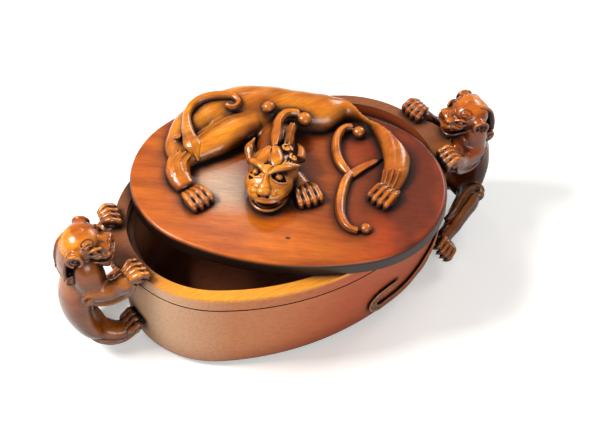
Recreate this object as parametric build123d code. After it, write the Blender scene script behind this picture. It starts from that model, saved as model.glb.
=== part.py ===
from build123d import *
import math
import os

os.makedirs("parts", exist_ok=True)

# Carved wooden box: an oval bowl whose two handles are climbing beasts, and a loose lid
# that lies askew on the rim, with a third beast carved on it in high relief.
# Millimetres. X runs along the bowl's long axis, Y away from the viewer, Z up.
# The origin is on the floor, under the bowl's centre.

# Bowl
bowl_half_length = 75.0
bowl_half_width = 53.0
bowl_end_radius = 45.0
rim_height = 50.0
foot_inset_end = 2.0
foot_inset_side = 6.5
foot_end_radius = 39.0
foot_rounding = 5.0
floor_thickness = 6.0
rim_width = 5.0
rebate_depth = 6.0
ledge_width = 3.0
cavity_rounding = 9.0
band_height = 7.5
line_width = 0.7
line_depth = 0.5

# Shelf that widens the rim at each end, between a beast's front paws
shelf_reach = 5.5
shelf_half_width = 17.0
shelf_depth = 12.0
shelf_edge = 2.0
shelf_root_sink = 1.5

# Lid
lid_side_clearance = 0.6
lid_end_clearance = 2.0
lid_thickness = 6.5
lid_end_radius = 43.0
lid_edge_rounding = 2.0
lid_yaw = -37.3
lid_shift_x = 2.4

# Handle beasts
beast_shift = 4.2
foreleg_spread = 16.5
foreleg_reach = 3.3
hind_leg_spread = 9.5
splayed_leg_spread = 25.5
trunk_half_width = 10.5
trunk_half_depth = 7.0
skull_half_width = 9.6
skull_half_depth = 7.8
ear_spread = 9.6
mane_half_width = 5.4
mane_thickness = 4.4
mane_roll_radius = 3.6
right_head_drop = 2.5
right_head_turn = 2.5
tail_half_width = 2.0
tail_half_depth = 1.6
hook_radius = 5.6
hook_along = 0.31
hook_up = 0.275

# Paws, the same on all three beasts
paw_half_width = 5.6
paw_length = 10.0
toe_count = 4
toe_overlap = 1.12

# Relief on the lid
relief_head_along = -0.075
relief_head_half_width = 11.5
relief_limb_half_width = 6.0
relief_lock_half_width = 2.2
relief_lock_half_depth = 2.6
relief_bead_radius = 3.0
relief_wrist_half_width = 4.0

# Worked out from the sizes above
lid_half_length = bowl_half_length - rim_width - lid_end_clearance
lid_half_width = bowl_half_width - rim_width - lid_side_clearance
wall_height = rim_height - band_height
foot_half_length = bowl_half_length - foot_inset_end
foot_half_width = bowl_half_width - foot_inset_side

UP = Vector(0, 0, 1)
ACROSS = Vector(0, 1, 0)


def side_arc(half_length, half_width, end_radius):
    """Radius and sideways centre of an oval's two flat arcs."""
    end_x = half_length - end_radius
    radius = (end_x**2 + half_width**2 - end_radius**2) / (2 * (half_width - end_radius))
    return radius, radius - half_width


def oval(half_length, half_width, end_radius):
    """Four-arc oval: two end arcs joined tangentially by two flat side arcs."""
    radius, centre_y = side_arc(half_length, half_width, end_radius)
    end_x = half_length - end_radius
    reach = radius / math.hypot(end_x, centre_y)
    join_x = end_x * reach
    join_y = centre_y * reach - centre_y
    right = ThreePointArc((join_x, -join_y), (half_length, 0), (join_x, join_y))
    far = ThreePointArc((join_x, join_y), (0, half_width), (-join_x, join_y))
    left = ThreePointArc((-join_x, join_y), (-half_length, 0), (-join_x, -join_y))
    near = ThreePointArc((-join_x, -join_y), (0, -half_width), (join_x, -join_y))
    return make_face([right, far, left, near])


def inner_oval(inset):
    """The bowl's rim outline drawn in evenly all round."""
    return oval(bowl_half_length - inset, bowl_half_width - inset, bowl_end_radius - inset)


def oval_reach_y(x, half_length, half_width, end_radius):
    """Half width of an oval at a place along it."""
    radius, centre_y = side_arc(half_length, half_width, end_radius)
    end_x = half_length - end_radius
    join_x = end_x * radius / math.hypot(end_x, centre_y)
    if abs(x) <= join_x:
        return math.sqrt(radius**2 - x**2) - centre_y
    return math.sqrt(max(end_radius**2 - (abs(x) - end_x) ** 2, 0))


def swell(points, sizes, side=None, facing=UP, seam_on_top=False):
    """Rounded limb: ellipses lofted through points, each with its half width and half depth.

    The width lies along side, or square to the limb and to the way its broad face looks.
    The loft's seam runs along one edge, or along the broad face where that keeps cuts clean.
    """
    last = len(points) - 1
    stations = []
    for i, point in enumerate(points):
        tangent = (points[min(i + 1, last)] - points[max(i - 1, 0)]).normalized()
        stations.append((point, tangent, sizes[i]))
    for end, way in ((0, -1), (-1, 1)):
        point, tangent, (half_width, half_depth) = stations[end]
        cap = min(half_width, half_depth)
        for reach in (0.5, 0.85, 0.985):
            shrink = math.sqrt(1 - reach**2)
            station = (
                point + tangent * (way * cap * reach),
                tangent,
                (half_width * shrink, half_depth * shrink),
            )
            stations.insert(0 if way < 0 else len(stations), station)
    faces = []
    for point, tangent, (half_width, half_depth) in stations:
        width_way = side or facing.cross(tangent)
        width_way = (width_way - tangent * width_way.dot(tangent)).normalized()
        if seam_on_top:
            plane = Plane(origin=point, x_dir=tangent.cross(width_way), z_dir=tangent)
            faces.append(plane * Ellipse(half_depth, half_width))
        else:
            plane = Plane(origin=point, x_dir=width_way, z_dir=tangent)
            faces.append(plane * Ellipse(half_width, half_depth))
    return loft(faces)


def joined(*pieces):
    """All pieces fused into one solid."""
    whole = pieces[0]
    for piece in pieces[1:]:
        whole = whole + piece
    return whole


def carved(piece, *neighbours):
    """The piece with its neighbours cut away, so that they meet face to face."""
    for neighbour in neighbours:
        piece = piece - neighbour
    return max(piece.solids(), key=lambda solid: solid.volume)


def make_paw():
    """Paw that points along +X from its wrist at the origin: a palm and bent toes side by side."""
    toe_pitch = 2 * paw_half_width / toe_count
    toe_radius = toe_pitch / 2 * toe_overlap
    palm = swell(
        [Vector(-0.35 * paw_length, 0, 1.6), Vector(0, 0, 2.0), Vector(0.25 * paw_length, 0, 1.8)],
        [(0.72 * paw_half_width, 2.6), (0.9 * paw_half_width, 3.0), (0.85 * paw_half_width, 2.6)],
    )
    toes = []
    for i in range(toe_count):
        place = i - (toe_count - 1) / 2
        across = place * toe_pitch
        reach = paw_length * (0.62 - 0.03 * place**2)
        toe = swell(
            [
                Vector(0.05 * paw_length, across * 0.8, 3.4),
                Vector(0.55 * reach, across * 0.95, 4.0),
                Vector(0.9 * reach, across, 2.8),
                Vector(reach, across, 1.0),
            ],
            [(toe_radius, toe_radius)] * 3 + [(0.8 * toe_radius, 0.8 * toe_radius)],
        )
        toes.append(toe)
    return joined(palm, *toes)


paw = make_paw()


def paw_at(place, heading, pitch=0.0, roll=0.0):
    """A paw set down at a point: turned about Z, tipped down, and rolled about its own length."""
    tipped = Location((0, 0, 0), (0, pitch, 0)) * Location((0, 0, 0), (roll, 0, 0))
    return Location(place, (0, 0, heading)) * tipped * paw


def make_wall():
    """Tapered outside of the bowl below its band, still solid and sharp-edged."""
    foot = oval(foot_half_length, foot_half_width, foot_end_radius)
    return loft([foot, Pos(0, 0, wall_height) * inner_oval(0)], ruled=True)


def make_bowl():
    """Oval vessel: tapered wall, upright band under a line, rim, rebate for the lid, and hollow."""
    wall = make_wall()
    wall = fillet(wall.faces().sort_by(Axis.Z)[0].edges(), foot_rounding)
    outside = wall + extrude(Pos(0, 0, wall_height) * inner_oval(0), band_height)
    shelf_centre = bowl_half_length - 2 * rim_width
    for sign in (-1, 1):
        place = Pos(sign * shelf_centre, -sign * beast_shift, 0)
        rim_shape = Ellipse(bowl_half_length + shelf_reach - shelf_centre, shelf_half_width)
        root_shape = Ellipse(bowl_half_length - shelf_root_sink - shelf_centre, 0.75 * shelf_half_width)
        root = place * Pos(0, 0, rim_height - shelf_depth) * root_shape
        top = place * Pos(0, 0, rim_height - shelf_edge) * rim_shape
        outside = outside + loft([root, top]) + extrude(top, shelf_edge)
    rebate = Pos(0, 0, rim_height - rebate_depth) * inner_oval(rim_width)
    cavity = extrude(
        Pos(0, 0, floor_thickness) * inner_oval(rim_width + ledge_width),
        rim_height - floor_thickness,
    )
    cavity = fillet(cavity.faces().sort_by(Axis.Z)[0].edges(), cavity_rounding)
    line = Pos(0, 0, wall_height) * (inner_oval(-line_depth) - inner_oval(line_depth))
    return outside - extrude(rebate, rebate_depth) - cavity - extrude(line, line_width)


def beast_point(out, across, up, drop=0.0):
    """Point of the left beast: outward from the bowl's end, across its middle plane, and up."""
    return Vector(-(bowl_half_length + out), beast_shift + across, up * rim_height - drop)


def make_trunk():
    """Neck, chest and belly that arch out from the bowl like a jug's handle."""
    stations = [
        (13.5, 1.20, 0.74, 0.95),
        (15.8, 1.04, 0.86, 1.00),
        (19.0, 0.86, 0.95, 1.05),
        (22.4, 0.66, 1.00, 1.00),
        (22.0, 0.44, 1.05, 0.92),
        (18.0, 0.27, 1.08, 0.80),
        (11.5, 0.20, 1.00, 0.64),
    ]
    return swell(
        [beast_point(out, 0, up) for out, up, width, depth in stations],
        [(width * trunk_half_width, depth * trunk_half_depth) for out, up, width, depth in stations],
        side=ACROSS,
    )


def make_head(drop=0.0, turn=0.0):
    """Domed skull, square muzzle, parted lower jaw and two rolled ears."""
    width = skull_half_width
    depth = skull_half_depth

    def at(out, across, up):
        return beast_point(out, turn + across, up, drop)

    skull = swell(
        [at(19, 0, 1.25), at(15, 0, 1.30), at(9.5, 0, 1.27)],
        [(0.8 * width, 0.86 * depth), (width, depth), (0.88 * width, 0.88 * depth)],
        side=ACROSS,
    )
    muzzle = swell(
        [at(9.5, 0, 1.245), at(6.5, 0, 1.24), at(4, 0, 1.235)],
        [(0.75 * width, 0.70 * depth), (0.64 * width, 0.56 * depth), (0.62 * width, 0.50 * depth)],
        side=ACROSS,
    )
    jaw = swell(
        [at(12, 0, 1.13), at(8, 0, 1.095), at(5, 0, 1.09)],
        [(0.70 * width, 0.48 * depth), (0.56 * width, 0.32 * depth), (0.46 * width, 0.24 * depth)],
        side=ACROSS,
    )
    ears = []
    for sign in (-1, 1):
        ear = swell(
            [
                at(14.5, sign * 0.82 * ear_spread, 1.22),
                at(17.5, sign * ear_spread, 1.20),
                at(20.5, sign * ear_spread, 1.16),
            ],
            [(2.8, 2.4), (3.2, 2.3), (2.2, 1.7)],
        )
        ears.append(ear)
    return joined(skull, muzzle, jaw, *ears)


def make_mane(drop=0.0, turn=0.0):
    """Lock of hair down the back of the neck, rolled up at its end."""
    half = mane_thickness / 2

    def at(out, up):
        return beast_point(out, turn, up, drop)

    band = swell(
        [at(18, 1.37), at(21.8, 1.26), at(23.4, 1.10), at(24.6, 0.95)],
        [(0.9 * mane_half_width, half)] + [(mane_half_width, half)] * 3,
        side=ACROSS,
    )
    roll = Cylinder(mane_roll_radius, 2.1 * mane_half_width)
    roll = fillet(roll.edges(), 0.4 * mane_roll_radius)
    return joined(band, Location(at(24.8, 0.91)) * Rot(90, 0, 0) * roll)


def make_foreleg(sign):
    """Front leg from the shoulder to a paw that grips the rim's shelf."""
    spread = sign * foreleg_spread
    rim_in = bowl_end_radius - math.sqrt(bowl_end_radius**2 - (beast_shift + spread) ** 2)
    wrist_out = foreleg_reach - rim_in
    leg = swell(
        [
            beast_point(17, 0.40 * spread, 0.82),
            beast_point(13, 0.60 * spread, 0.83),
            beast_point(7.5 - rim_in / 2, 0.80 * spread, 0.87),
            beast_point(wrist_out + 0.5, 0.93 * spread, 0.96),
        ],
        [(5.6, 6.8), (4.4, 6.2), (3.8, 5.0), (3.6, 3.6)],
    )
    return joined(leg, paw_at(beast_point(wrist_out, spread, 1.0), -8 * sign, 10))


def make_near_hind_leg():
    """Hind leg from the belly back to a paw set against the bowl's end."""
    leg = swell(
        [
            beast_point(15, -0.45 * hind_leg_spread, 0.22),
            beast_point(8, -0.85 * hind_leg_spread, 0.19),
            beast_point(2.5, -hind_leg_spread, 0.215),
        ],
        [(5.4, 4.6), (4.6, 4.0), (3.9, 3.4)],
    )
    return joined(leg, paw_at(beast_point(0.6, -hind_leg_spread, 0.2), 0, -52))


def make_far_hind_leg():
    """Hind leg that swings wide from the rump to a paw laid along the bowl's wall."""
    leg = swell(
        [
            beast_point(17.5, 0.25 * splayed_leg_spread, 0.28),
            beast_point(14.5, 0.43 * splayed_leg_spread, 0.26),
            beast_point(7.5, 0.58 * splayed_leg_spread, 0.21),
            beast_point(0.5, 0.74 * splayed_leg_spread, 0.16),
            beast_point(-6.5, 0.88 * splayed_leg_spread, 0.15),
        ],
        [(5.0, 5.2), (5.0, 5.6), (4.6, 4.8), (3.8, 3.8), (3.4, 3.3)],
    )
    return joined(leg, paw_at(beast_point(-10.5, splayed_leg_spread, 0.15), 42, 6, -55))


def wall_point(along, up, out):
    """Point on the far wall's outside, left of the middle: shares of the half length and height."""
    share = up * rim_height / wall_height
    half_length = foot_half_length + (bowl_half_length - foot_half_length) * share
    half_width = foot_half_width + (bowl_half_width - foot_half_width) * share
    end_radius = foot_end_radius + (bowl_end_radius - foot_end_radius) * share
    x = along * half_length
    return Vector(-x, oval_reach_y(x, half_length, half_width, end_radius) + out, up * rim_height)


def make_tail():
    """Narrow tail laid along the wall from behind the splayed leg, down and back up in a hook."""
    width = tail_half_width
    depth = tail_half_depth
    outward = Vector(-0.3, 1, 0)
    course = [(0.90, 0.44), (0.80, 0.37), (0.70, 0.285), (0.60, 0.21), (0.49, 0.17), (0.37, 0.162)]
    ribbon = swell(
        [wall_point(along, up, 0.3) for along, up in course],
        [(width, depth)] * len(course),
        facing=outward,
    )
    hook_points = []
    for step in range(8):
        turn = math.radians(-75 - 28 * step)
        along = hook_along + hook_radius * math.cos(turn) / bowl_half_length
        up = hook_up + hook_radius * math.sin(turn) / rim_height
        hook_points.append(wall_point(along, up, 0.3))
    hook_sizes = [(0.85 * width, 0.95 * depth)] * len(hook_points)
    tip_points = [wall_point(0.37, 0.388, 0.2), wall_point(0.43, 0.4, 0.1)]
    tip_sizes = [(0.65 * width, 0.8 * depth), (0.4 * width, 0.6 * depth)]
    hook = swell(hook_points + tip_points, hook_sizes + tip_sizes, facing=outward)
    return joined(ribbon, hook)


def lid_place():
    """Where the lid lies: on the rim, turned about Z."""
    return Location((lid_shift_x, 0, rim_height), (0, 0, lid_yaw))


def on_lid(along, across, height):
    """Point of the relief: shares of the lid's half length and half width, and height over its top."""
    return Vector(along * lid_half_length, across * lid_half_width, lid_thickness + height)


def relief(points, sizes, seam_on_top=False):
    return swell([on_lid(*point) for point in points], sizes, seam_on_top=seam_on_top)


def relief_paw(along, across, heading):
    return Location(on_lid(along, across, -1.2), (0, 0, heading)) * paw


def relief_bead(along, across, height, radius):
    return Location(on_lid(along, across, height)) * Sphere(radius)


def make_lid():
    """Flat oval panel with a rounded top edge."""
    slab = extrude(oval(lid_half_length, lid_half_width, lid_end_radius), lid_thickness)
    return fillet(slab.edges().group_by(Axis.Z)[-1], lid_edge_rounding)


def make_torso():
    """Back of the beast: one long hump that curls round the lid's far side, flush with its edge."""
    hump = relief(
        [
            (-0.72, 0.24, 0.0),
            (-0.64, 0.54, 0.8),
            (-0.40, 0.74, 1.2),
            (-0.06, 0.80, 1.0),
            (0.24, 0.82, 0.6),
            (0.46, 0.72, 0.4),
        ],
        [(8.5, 5.5), (10.5, 9.8), (12.0, 13.2), (10.5, 10.6), (8.0, 7.2), (6.0, 5.0)],
    )
    return hump & extrude(oval(lid_half_length, lid_half_width, lid_end_radius), 5 * lid_thickness)


def make_relief_head():
    """High head that rears off the lid: skull, muzzle and open lower jaw."""
    width = relief_head_half_width
    along = relief_head_along
    skull = relief(
        [(along, 0.20, 6.5), (along, 0.04, 8.5), (along, -0.12, 8.8), (along, -0.26, 8.0)],
        [(0.8 * width, 7.0), (0.92 * width, 8.4), (width, 8.8), (0.9 * width, 7.4)],
    )
    muzzle = relief(
        [(along, -0.26, 7.4), (along, -0.36, 7.0), (along, -0.42, 6.6)],
        [(0.8 * width, 5.4), (0.66 * width, 4.4), (0.56 * width, 3.6)],
    )
    jaw = relief(
        [(along, -0.16, 2.2), (along, -0.36, 1.2), (along, -0.45, 1.2)],
        [(0.8 * width, 3.2), (0.62 * width, 2.4), (0.5 * width, 1.8)],
    )
    return joined(skull, muzzle, jaw)


def make_relief_mane():
    """Lock that rises behind the head, hooks over and ends in a bead."""
    width = relief_lock_half_width
    depth = relief_lock_half_depth
    lock = relief(
        [(-0.06, 0.14, 13), (-0.10, 0.36, 10), (-0.11, 0.54, 9), (-0.06, 0.62, 9), (0.01, 0.63, 8.4)],
        [(width, 1.2 * depth)] * 3 + [(width, 1.1 * depth), (width, depth)],
    )
    return joined(lock, relief_bead(0.045, 0.592, 7.4, 1.15 * relief_bead_radius))


def make_left_foreleg():
    """Long upper arm, elbow at the lid's end, forearm and paw."""
    width = relief_limb_half_width
    leg = relief(
        [
            (-0.27, 0.56, 4.5),
            (-0.39, 0.44, 4.2),
            (-0.50, 0.28, 3.6),
            (-0.62, 0.12, 2.9),
            (-0.695, -0.02, 2.4),
            (-0.675, -0.15, 1.8),
            (-0.60, -0.27, 0.9),
        ],
        [
            (0.95 * width, 4.6),
            (1.30 * width, 5.4),
            (1.20 * width, 5.2),
            (0.95 * width, 4.6),
            (0.80 * width, 4.2),
            (0.76 * width, 3.8),
            (0.68 * width, 3.2),
        ],
    )
    return joined(leg, relief_paw(-0.545, -0.365, -42))


def make_right_foreleg():
    """Short forearm that shows beside the head, and its paw."""
    wrist = relief_wrist_half_width
    leg = relief(
        [(0.02, 0.0, 1.8), (0.08, -0.10, 1.6), (0.115, -0.15, 1.2)],
        [(1.15 * wrist, 4.4), (1.05 * wrist, 3.6), (wrist, 3.0)],
    )
    return joined(leg, relief_paw(0.13, -0.185, -60))


def make_relief_hind_leg():
    """Haunch, knee near the lid's end, shank and paw."""
    width = relief_limb_half_width
    leg = relief(
        [
            (0.40, 0.76, 2.2),
            (0.53, 0.66, 2.6),
            (0.62, 0.52, 2.6),
            (0.66, 0.36, 2.4),
            (0.66, 0.20, 2.2),
            (0.65, 0.07, 1.6),
            (0.635, -0.03, 0.9),
        ],
        [
            (0.80 * width, 4.0),
            (0.86 * width, 4.4),
            (0.90 * width, 4.6),
            (0.92 * width, 4.4),
            (0.90 * width, 4.0),
            (0.84 * width, 3.5),
            (0.75 * width, 3.0),
        ],
    )
    return joined(leg, relief_paw(0.625, -0.10, -125))


def make_relief_tail():
    """Tail that forks into two locks, each rolled up in a bead."""
    width = relief_lock_half_width
    depth = relief_lock_half_depth
    lower = relief(
        [
            (0.56, 0.36, 0.6),
            (0.47, 0.24, 0.6),
            (0.38, 0.11, 0.6),
            (0.35, -0.06, 0.6),
            (0.35, -0.26, 0.4),
            (0.38, -0.43, 0.4),
            (0.44, -0.53, 0.4),
            (0.50, -0.545, 0.4),
        ],
        [(0.8 * width, depth)] * 2 + [(width, depth)] * 6,
    )
    upper = relief(
        [
            (0.36, 0.04, 0.2),
            (0.31, 0.20, 0.8),
            (0.268, 0.38, 1.0),
            (0.26, 0.54, 1.2),
            (0.30, 0.66, 1.4),
            (0.345, 0.68, 1.6),
        ],
        [(0.7 * width, 0.8 * depth)] + [(width, depth)] * 5,
    )
    beads = [
        relief_bead(0.392, 0.615, 2.0, relief_bead_radius),
        relief_bead(0.53, -0.50, 0.2, 0.85 * relief_bead_radius),
    ]
    return joined(lower, upper, *beads)


def make_flame_lock():
    """Flame of hair that springs from the elbow and curls over the back."""
    width = relief_lock_half_width
    depth = relief_lock_half_depth
    return relief(
        [
            (-0.615, 0.07, 7.2),
            (-0.66, 0.26, 7.8),
            (-0.70, 0.46, 8.8),
            (-0.67, 0.60, 10.6),
            (-0.58, 0.67, 12.2),
            (-0.47, 0.69, 12.8),
            (-0.40, 0.64, 12.8),
        ],
        [(1.7 * width, depth), (1.2 * width, depth)] + [(width, depth)] * 4 + [(1.2 * width, depth)],
        seam_on_top=True,
    )


def write(name, shape):
    export_step(shape, f"parts/{name}.step")


def turned_name(name):
    """Name of a leg on the right beast: the half turn swaps its near and far sides."""
    for side, other in (("near", "far"), ("far", "near")):
        if name.startswith(side):
            return name.replace(side, other)
    return name


def write_handles(bowl):
    """Both handle beasts: the right one is the left one turned half round, with its head lower."""
    trunk = make_trunk()
    far_hind_leg = carved(make_far_hind_leg(), trunk, bowl)
    shared = {
        "trunk": trunk,
        "near_foreleg": carved(make_foreleg(-1), trunk, bowl),
        "far_foreleg": carved(make_foreleg(1), trunk, bowl),
        "near_hind_leg": carved(make_near_hind_leg(), trunk, bowl),
        "far_hind_leg": far_hind_leg,
        "tail": carved(make_tail(), make_wall(), far_hind_leg),
    }
    half_turn = Rot(0, 0, 180)
    for name, shape in shared.items():
        write(f"left_beast_{name}", shape)
        write(f"right_beast_{turned_name(name)}", half_turn * shape)
    heads = {
        "left": (Pos(0, 0, 0), 0.0, 0.0),
        "right": (half_turn, right_head_drop, right_head_turn),
    }
    for side, (place, drop, turn) in heads.items():
        head = carved(make_head(drop, turn), trunk)
        mane = carved(make_mane(drop, turn), trunk, head)
        write(f"{side}_beast_head", place * head)
        write(f"{side}_beast_mane", place * mane)


def write_lid():
    """The lid and its relief, each carving cut where it meets the ones before it."""
    lid = make_lid()
    torso = carved(make_torso(), lid)
    left_foreleg = carved(make_left_foreleg(), lid, torso)
    head = carved(make_relief_head(), lid, left_foreleg)
    hind_leg = carved(make_relief_hind_leg(), lid, torso)
    pieces = {
        "lid": lid,
        "lid_beast_torso": torso,
        "lid_beast_left_foreleg": left_foreleg,
        "lid_beast_head": head,
        "lid_beast_hind_leg": hind_leg,
        "lid_beast_right_foreleg": carved(make_right_foreleg(), lid, head),
        "lid_beast_mane": carved(make_relief_mane(), lid, head, torso, left_foreleg),
        "lid_beast_tail": carved(make_relief_tail(), lid, torso, hind_leg),
        "lid_beast_flame_lock": carved(make_flame_lock(), torso, left_foreleg),
        "lid_beast_bead": carved(relief_bead(-0.19, 0.62, 12.2, relief_bead_radius), torso),
    }
    for name, shape in pieces.items():
        write(name, lid_place() * shape)


bowl = make_bowl()
write("bowl", bowl)
write_handles(bowl)
write_lid()
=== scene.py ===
import bpy
import math
from mathutils import Matrix, Vector


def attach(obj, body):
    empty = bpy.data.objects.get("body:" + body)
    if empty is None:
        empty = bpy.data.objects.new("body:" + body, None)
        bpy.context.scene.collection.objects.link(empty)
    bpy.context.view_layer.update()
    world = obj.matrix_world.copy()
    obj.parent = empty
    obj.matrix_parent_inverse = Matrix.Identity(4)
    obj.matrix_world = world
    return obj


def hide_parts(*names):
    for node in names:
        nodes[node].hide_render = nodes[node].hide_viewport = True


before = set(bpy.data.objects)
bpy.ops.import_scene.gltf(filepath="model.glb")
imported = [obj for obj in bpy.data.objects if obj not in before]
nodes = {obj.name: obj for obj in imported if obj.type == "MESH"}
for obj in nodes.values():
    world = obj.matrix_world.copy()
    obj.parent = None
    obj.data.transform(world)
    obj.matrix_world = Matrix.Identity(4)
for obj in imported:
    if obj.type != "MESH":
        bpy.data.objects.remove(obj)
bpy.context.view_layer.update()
MM = 0.001

# Where the lid lies, in millimetres: its top face, its shift and its turn
LID_TOP = 56.5
LID_SHIFT = 2.4
LID_TURN = math.radians(-37.3)

# Ovals of the bowl, in millimetres: half length, half width and the radius of the ends
FOOT_OVAL = (73, 46.5, 39)
BAND_OVAL = (75, 53, 45)
BAND_HEIGHT = 42.5
BOWL_END = BAND_OVAL[0]
RIM_END_RADIUS = BAND_OVAL[2]
HOLLOW_HALF_LENGTH = 69.0
HOLLOW_HALF_WIDTH = 47.4

# How far a handle beast's middle stands aside of the bowl's, and how far its forepaws spread
BEAST_ASIDE = 4.2
PAW_SPREAD = 16.5
WRIST_OUT = 3.3

# A rod's rounded end: its reach and its girth, as shares of the rod's own
CAP_REACH = 0.35
CAP_GIRTH = 0.5

# How far the colour feels for crests (lightened: wear and painted highlight), cuts (darkened: patina and
# painted shade) and hollows (darkened: stain and painted shade), in millimetres, and how often
CREST_REACH = 1.3
CUT_REACH = 4.0
STAIN_AND_SHADE_REACH = 18.0
FEELERS = 8

# How much the crests are lightened, by wear and as a painted highlight, and how much rougher the cuts are
# left
CREST_WEAR_AND_HIGHLIGHT = 0.5
ROUGHER_IN_CUTS = 0.3

# A tint that changes nothing
CLEAR = (1.0, 1.0, 1.0)


# Working by hand

def only(*pieces):
    """Select these pieces alone, the first of them active."""
    bpy.ops.object.select_all(action="DESELECT")
    for piece in pieces:
        piece.select_set(True)
    bpy.context.view_layer.objects.active = pieces[0]


def apply_all(piece):
    only(piece)
    for modifier in list(piece.modifiers):
        bpy.ops.object.modifier_apply(modifier=modifier.name)


def lay(piece, place=(0, 0, 0), turn=(0, 0, 0), size=(1, 1, 1)):
    """Set a piece down at a place in millimetres, turned in degrees, and fix it there."""
    only(piece)
    piece.scale = size
    piece.rotation_euler = [math.radians(a) for a in turn]
    piece.location = [a * MM for a in place]
    bpy.ops.object.transform_apply(location=True, rotation=True, scale=True)
    return piece


def copy_of(piece):
    only(piece)
    bpy.ops.object.duplicate()
    return bpy.context.active_object


def egg(place, size, turn=(0, 0, 0)):
    """Rounded lump, given its half sizes."""
    bpy.ops.object.select_all(action="DESELECT")
    bpy.ops.mesh.primitive_uv_sphere_add(segments=20, ring_count=14, radius=MM)
    lump = bpy.context.active_object
    return lay(lump, place, turn, size)


def block(place, size, turn=(0, 0, 0)):
    """Squared lump with softened edges, given its half sizes."""
    bpy.ops.object.select_all(action="DESELECT")
    bpy.ops.mesh.primitive_cube_add(size=2 * MM)
    lump = bpy.context.active_object
    lay(lump, size=size)
    bpy.ops.object.mode_set(mode="EDIT")
    bpy.ops.mesh.select_all(action="SELECT")
    bpy.ops.mesh.bevel(offset=0.4 * min(size) * MM, segments=3)
    bpy.ops.object.mode_set(mode="OBJECT")
    return lay(lump, place, turn)


def guide_line(points):
    """Smooth line through points in millimetres, and its length in metres."""
    line = bpy.data.curves.new("guide", "CURVE")
    line.dimensions = "3D"
    line.resolution_u = 16
    line.twist_mode = "MINIMUM"
    spline = line.splines.new("BEZIER")
    spline.bezier_points.add(len(points) - 1)
    for knot, point in zip(spline.bezier_points, points):
        knot.co = Vector(point) * MM
        knot.handle_left_type = "AUTO"
        knot.handle_right_type = "AUTO"
    guide = bpy.data.objects.new("guide", line)
    bpy.context.scene.collection.objects.link(guide)
    bpy.context.view_layer.update()
    return guide, spline.calc_length()


def limb(points, girths, upright=True, around=12, run_length=1.3):
    """Rod drawn out section by section with its half widths and half heights, then bent on a line."""
    guide, length = guide_line(points)
    guide.data.twist_mode = "Z_UP" if upright else "MINIMUM"
    bpy.ops.object.select_all(action="DESELECT")
    bpy.ops.mesh.primitive_circle_add(
        vertices=around, radius=MM, fill_type="NGON", rotation=(0, math.radians(90), 0)
    )
    rod = bpy.context.active_object
    bpy.ops.object.transform_apply(location=False, rotation=True, scale=False)
    bpy.ops.object.mode_set(mode="EDIT")
    bpy.ops.mesh.select_all(action="SELECT")
    last = len(girths) - 1
    steps = max(2, round(length / MM / last / run_length))
    width, height = girths[0]
    bpy.ops.transform.resize(value=(1, CAP_GIRTH * width, CAP_GIRTH * height))
    cap = min(width, height) * CAP_REACH * MM
    bpy.ops.mesh.extrude_region_move(TRANSFORM_OT_translate={"value": (cap, 0, 0)})
    bpy.ops.transform.resize(value=(1, 1 / CAP_GIRTH, 1 / CAP_GIRTH))
    run = (length - 2 * cap) / (last * steps)
    for section in range(last):
        start, end = girths[section], girths[section + 1]
        for step in range(1, steps + 1):
            share = step / steps
            share = share * share * (3 - 2 * share)
            new_width = start[0] + (end[0] - start[0]) * share
            new_height = start[1] + (end[1] - start[1]) * share
            bpy.ops.mesh.extrude_region_move(TRANSFORM_OT_translate={"value": (run, 0, 0)})
            bpy.ops.transform.resize(value=(1, new_width / width, new_height / height))
            width, height = new_width, new_height
    bpy.ops.mesh.extrude_region_move(TRANSFORM_OT_translate={"value": (cap, 0, 0)})
    bpy.ops.transform.resize(value=(1, CAP_GIRTH, CAP_GIRTH))
    bpy.ops.mesh.select_all(action="SELECT")
    bpy.ops.mesh.normals_make_consistent(inside=False)
    bpy.ops.object.mode_set(mode="OBJECT")
    bend = rod.modifiers.new("bend", "CURVE")
    bend.object = guide
    bend.deform_axis = "POS_X"
    apply_all(rod)
    bpy.data.objects.remove(guide)
    return rod


def thread(points, radius, end_radius=None, upright=True):
    """Thin ridge of one thickness, or one that tapers to its end."""
    end = radius if end_radius is None else end_radius
    return limb(points, [(radius, radius), (end, end)], upright, around=8, run_length=0.9)


def upright_limb(points, girths, around=20):
    """Limb that bends in an upright plane: half depths lie in that plane, half widths across it."""
    laid = [(x, z, -y) for x, y, z in points]
    return lay(limb(laid, girths, around=around), turn=(90, 0, 0))


def gather(name, parts):
    """Join the parts into one object with a plain name."""
    only(*parts)
    if len(parts) > 1:
        bpy.ops.object.join()
    whole = bpy.context.active_object
    whole.name = name
    whole.data.name = name
    return whole


def fuse(name, parts, fineness, ease=3):
    """Melt overlapping parts into one skin, as if cut from one block, and ease its corners."""
    whole = gather(name, parts)
    melt = whole.modifiers.new("melt", "REMESH")
    melt.mode = "VOXEL"
    melt.voxel_size = fineness * MM
    smooth = whole.modifiers.new("ease", "SMOOTH")
    smooth.factor = 0.5
    smooth.iterations = ease
    apply_all(whole)
    only(whole)
    bpy.ops.object.shade_smooth()
    return whole


def cut_away(whole, cutters):
    """Cut hollows and slits out of a piece."""
    tool = gather("cutter", cutters)
    cut = whole.modifiers.new("cut", "BOOLEAN")
    cut.operation = "DIFFERENCE"
    cut.solver = "EXACT"
    cut.object = tool
    apply_all(whole)
    bpy.data.objects.remove(tool)
    return whole


def on_lid(piece):
    """Carry a piece from the lid's own frame to where the lid lies."""
    only(piece)
    piece.location = (LID_SHIFT * MM, 0, LID_TOP * MM)
    piece.rotation_euler = (0, 0, LID_TURN)
    bpy.ops.object.transform_apply(location=True, rotation=True, scale=True)
    return piece


# Materials

def ramp(tree, source, low, high):
    """Stretch part of a texture's range to run from none to full."""
    stretch = tree.nodes.new("ShaderNodeMapRange")
    stretch.inputs["From Min"].default_value = low
    stretch.inputs["From Max"].default_value = high
    tree.links.new(source, stretch.inputs["Value"])
    return stretch.outputs["Result"]


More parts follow.
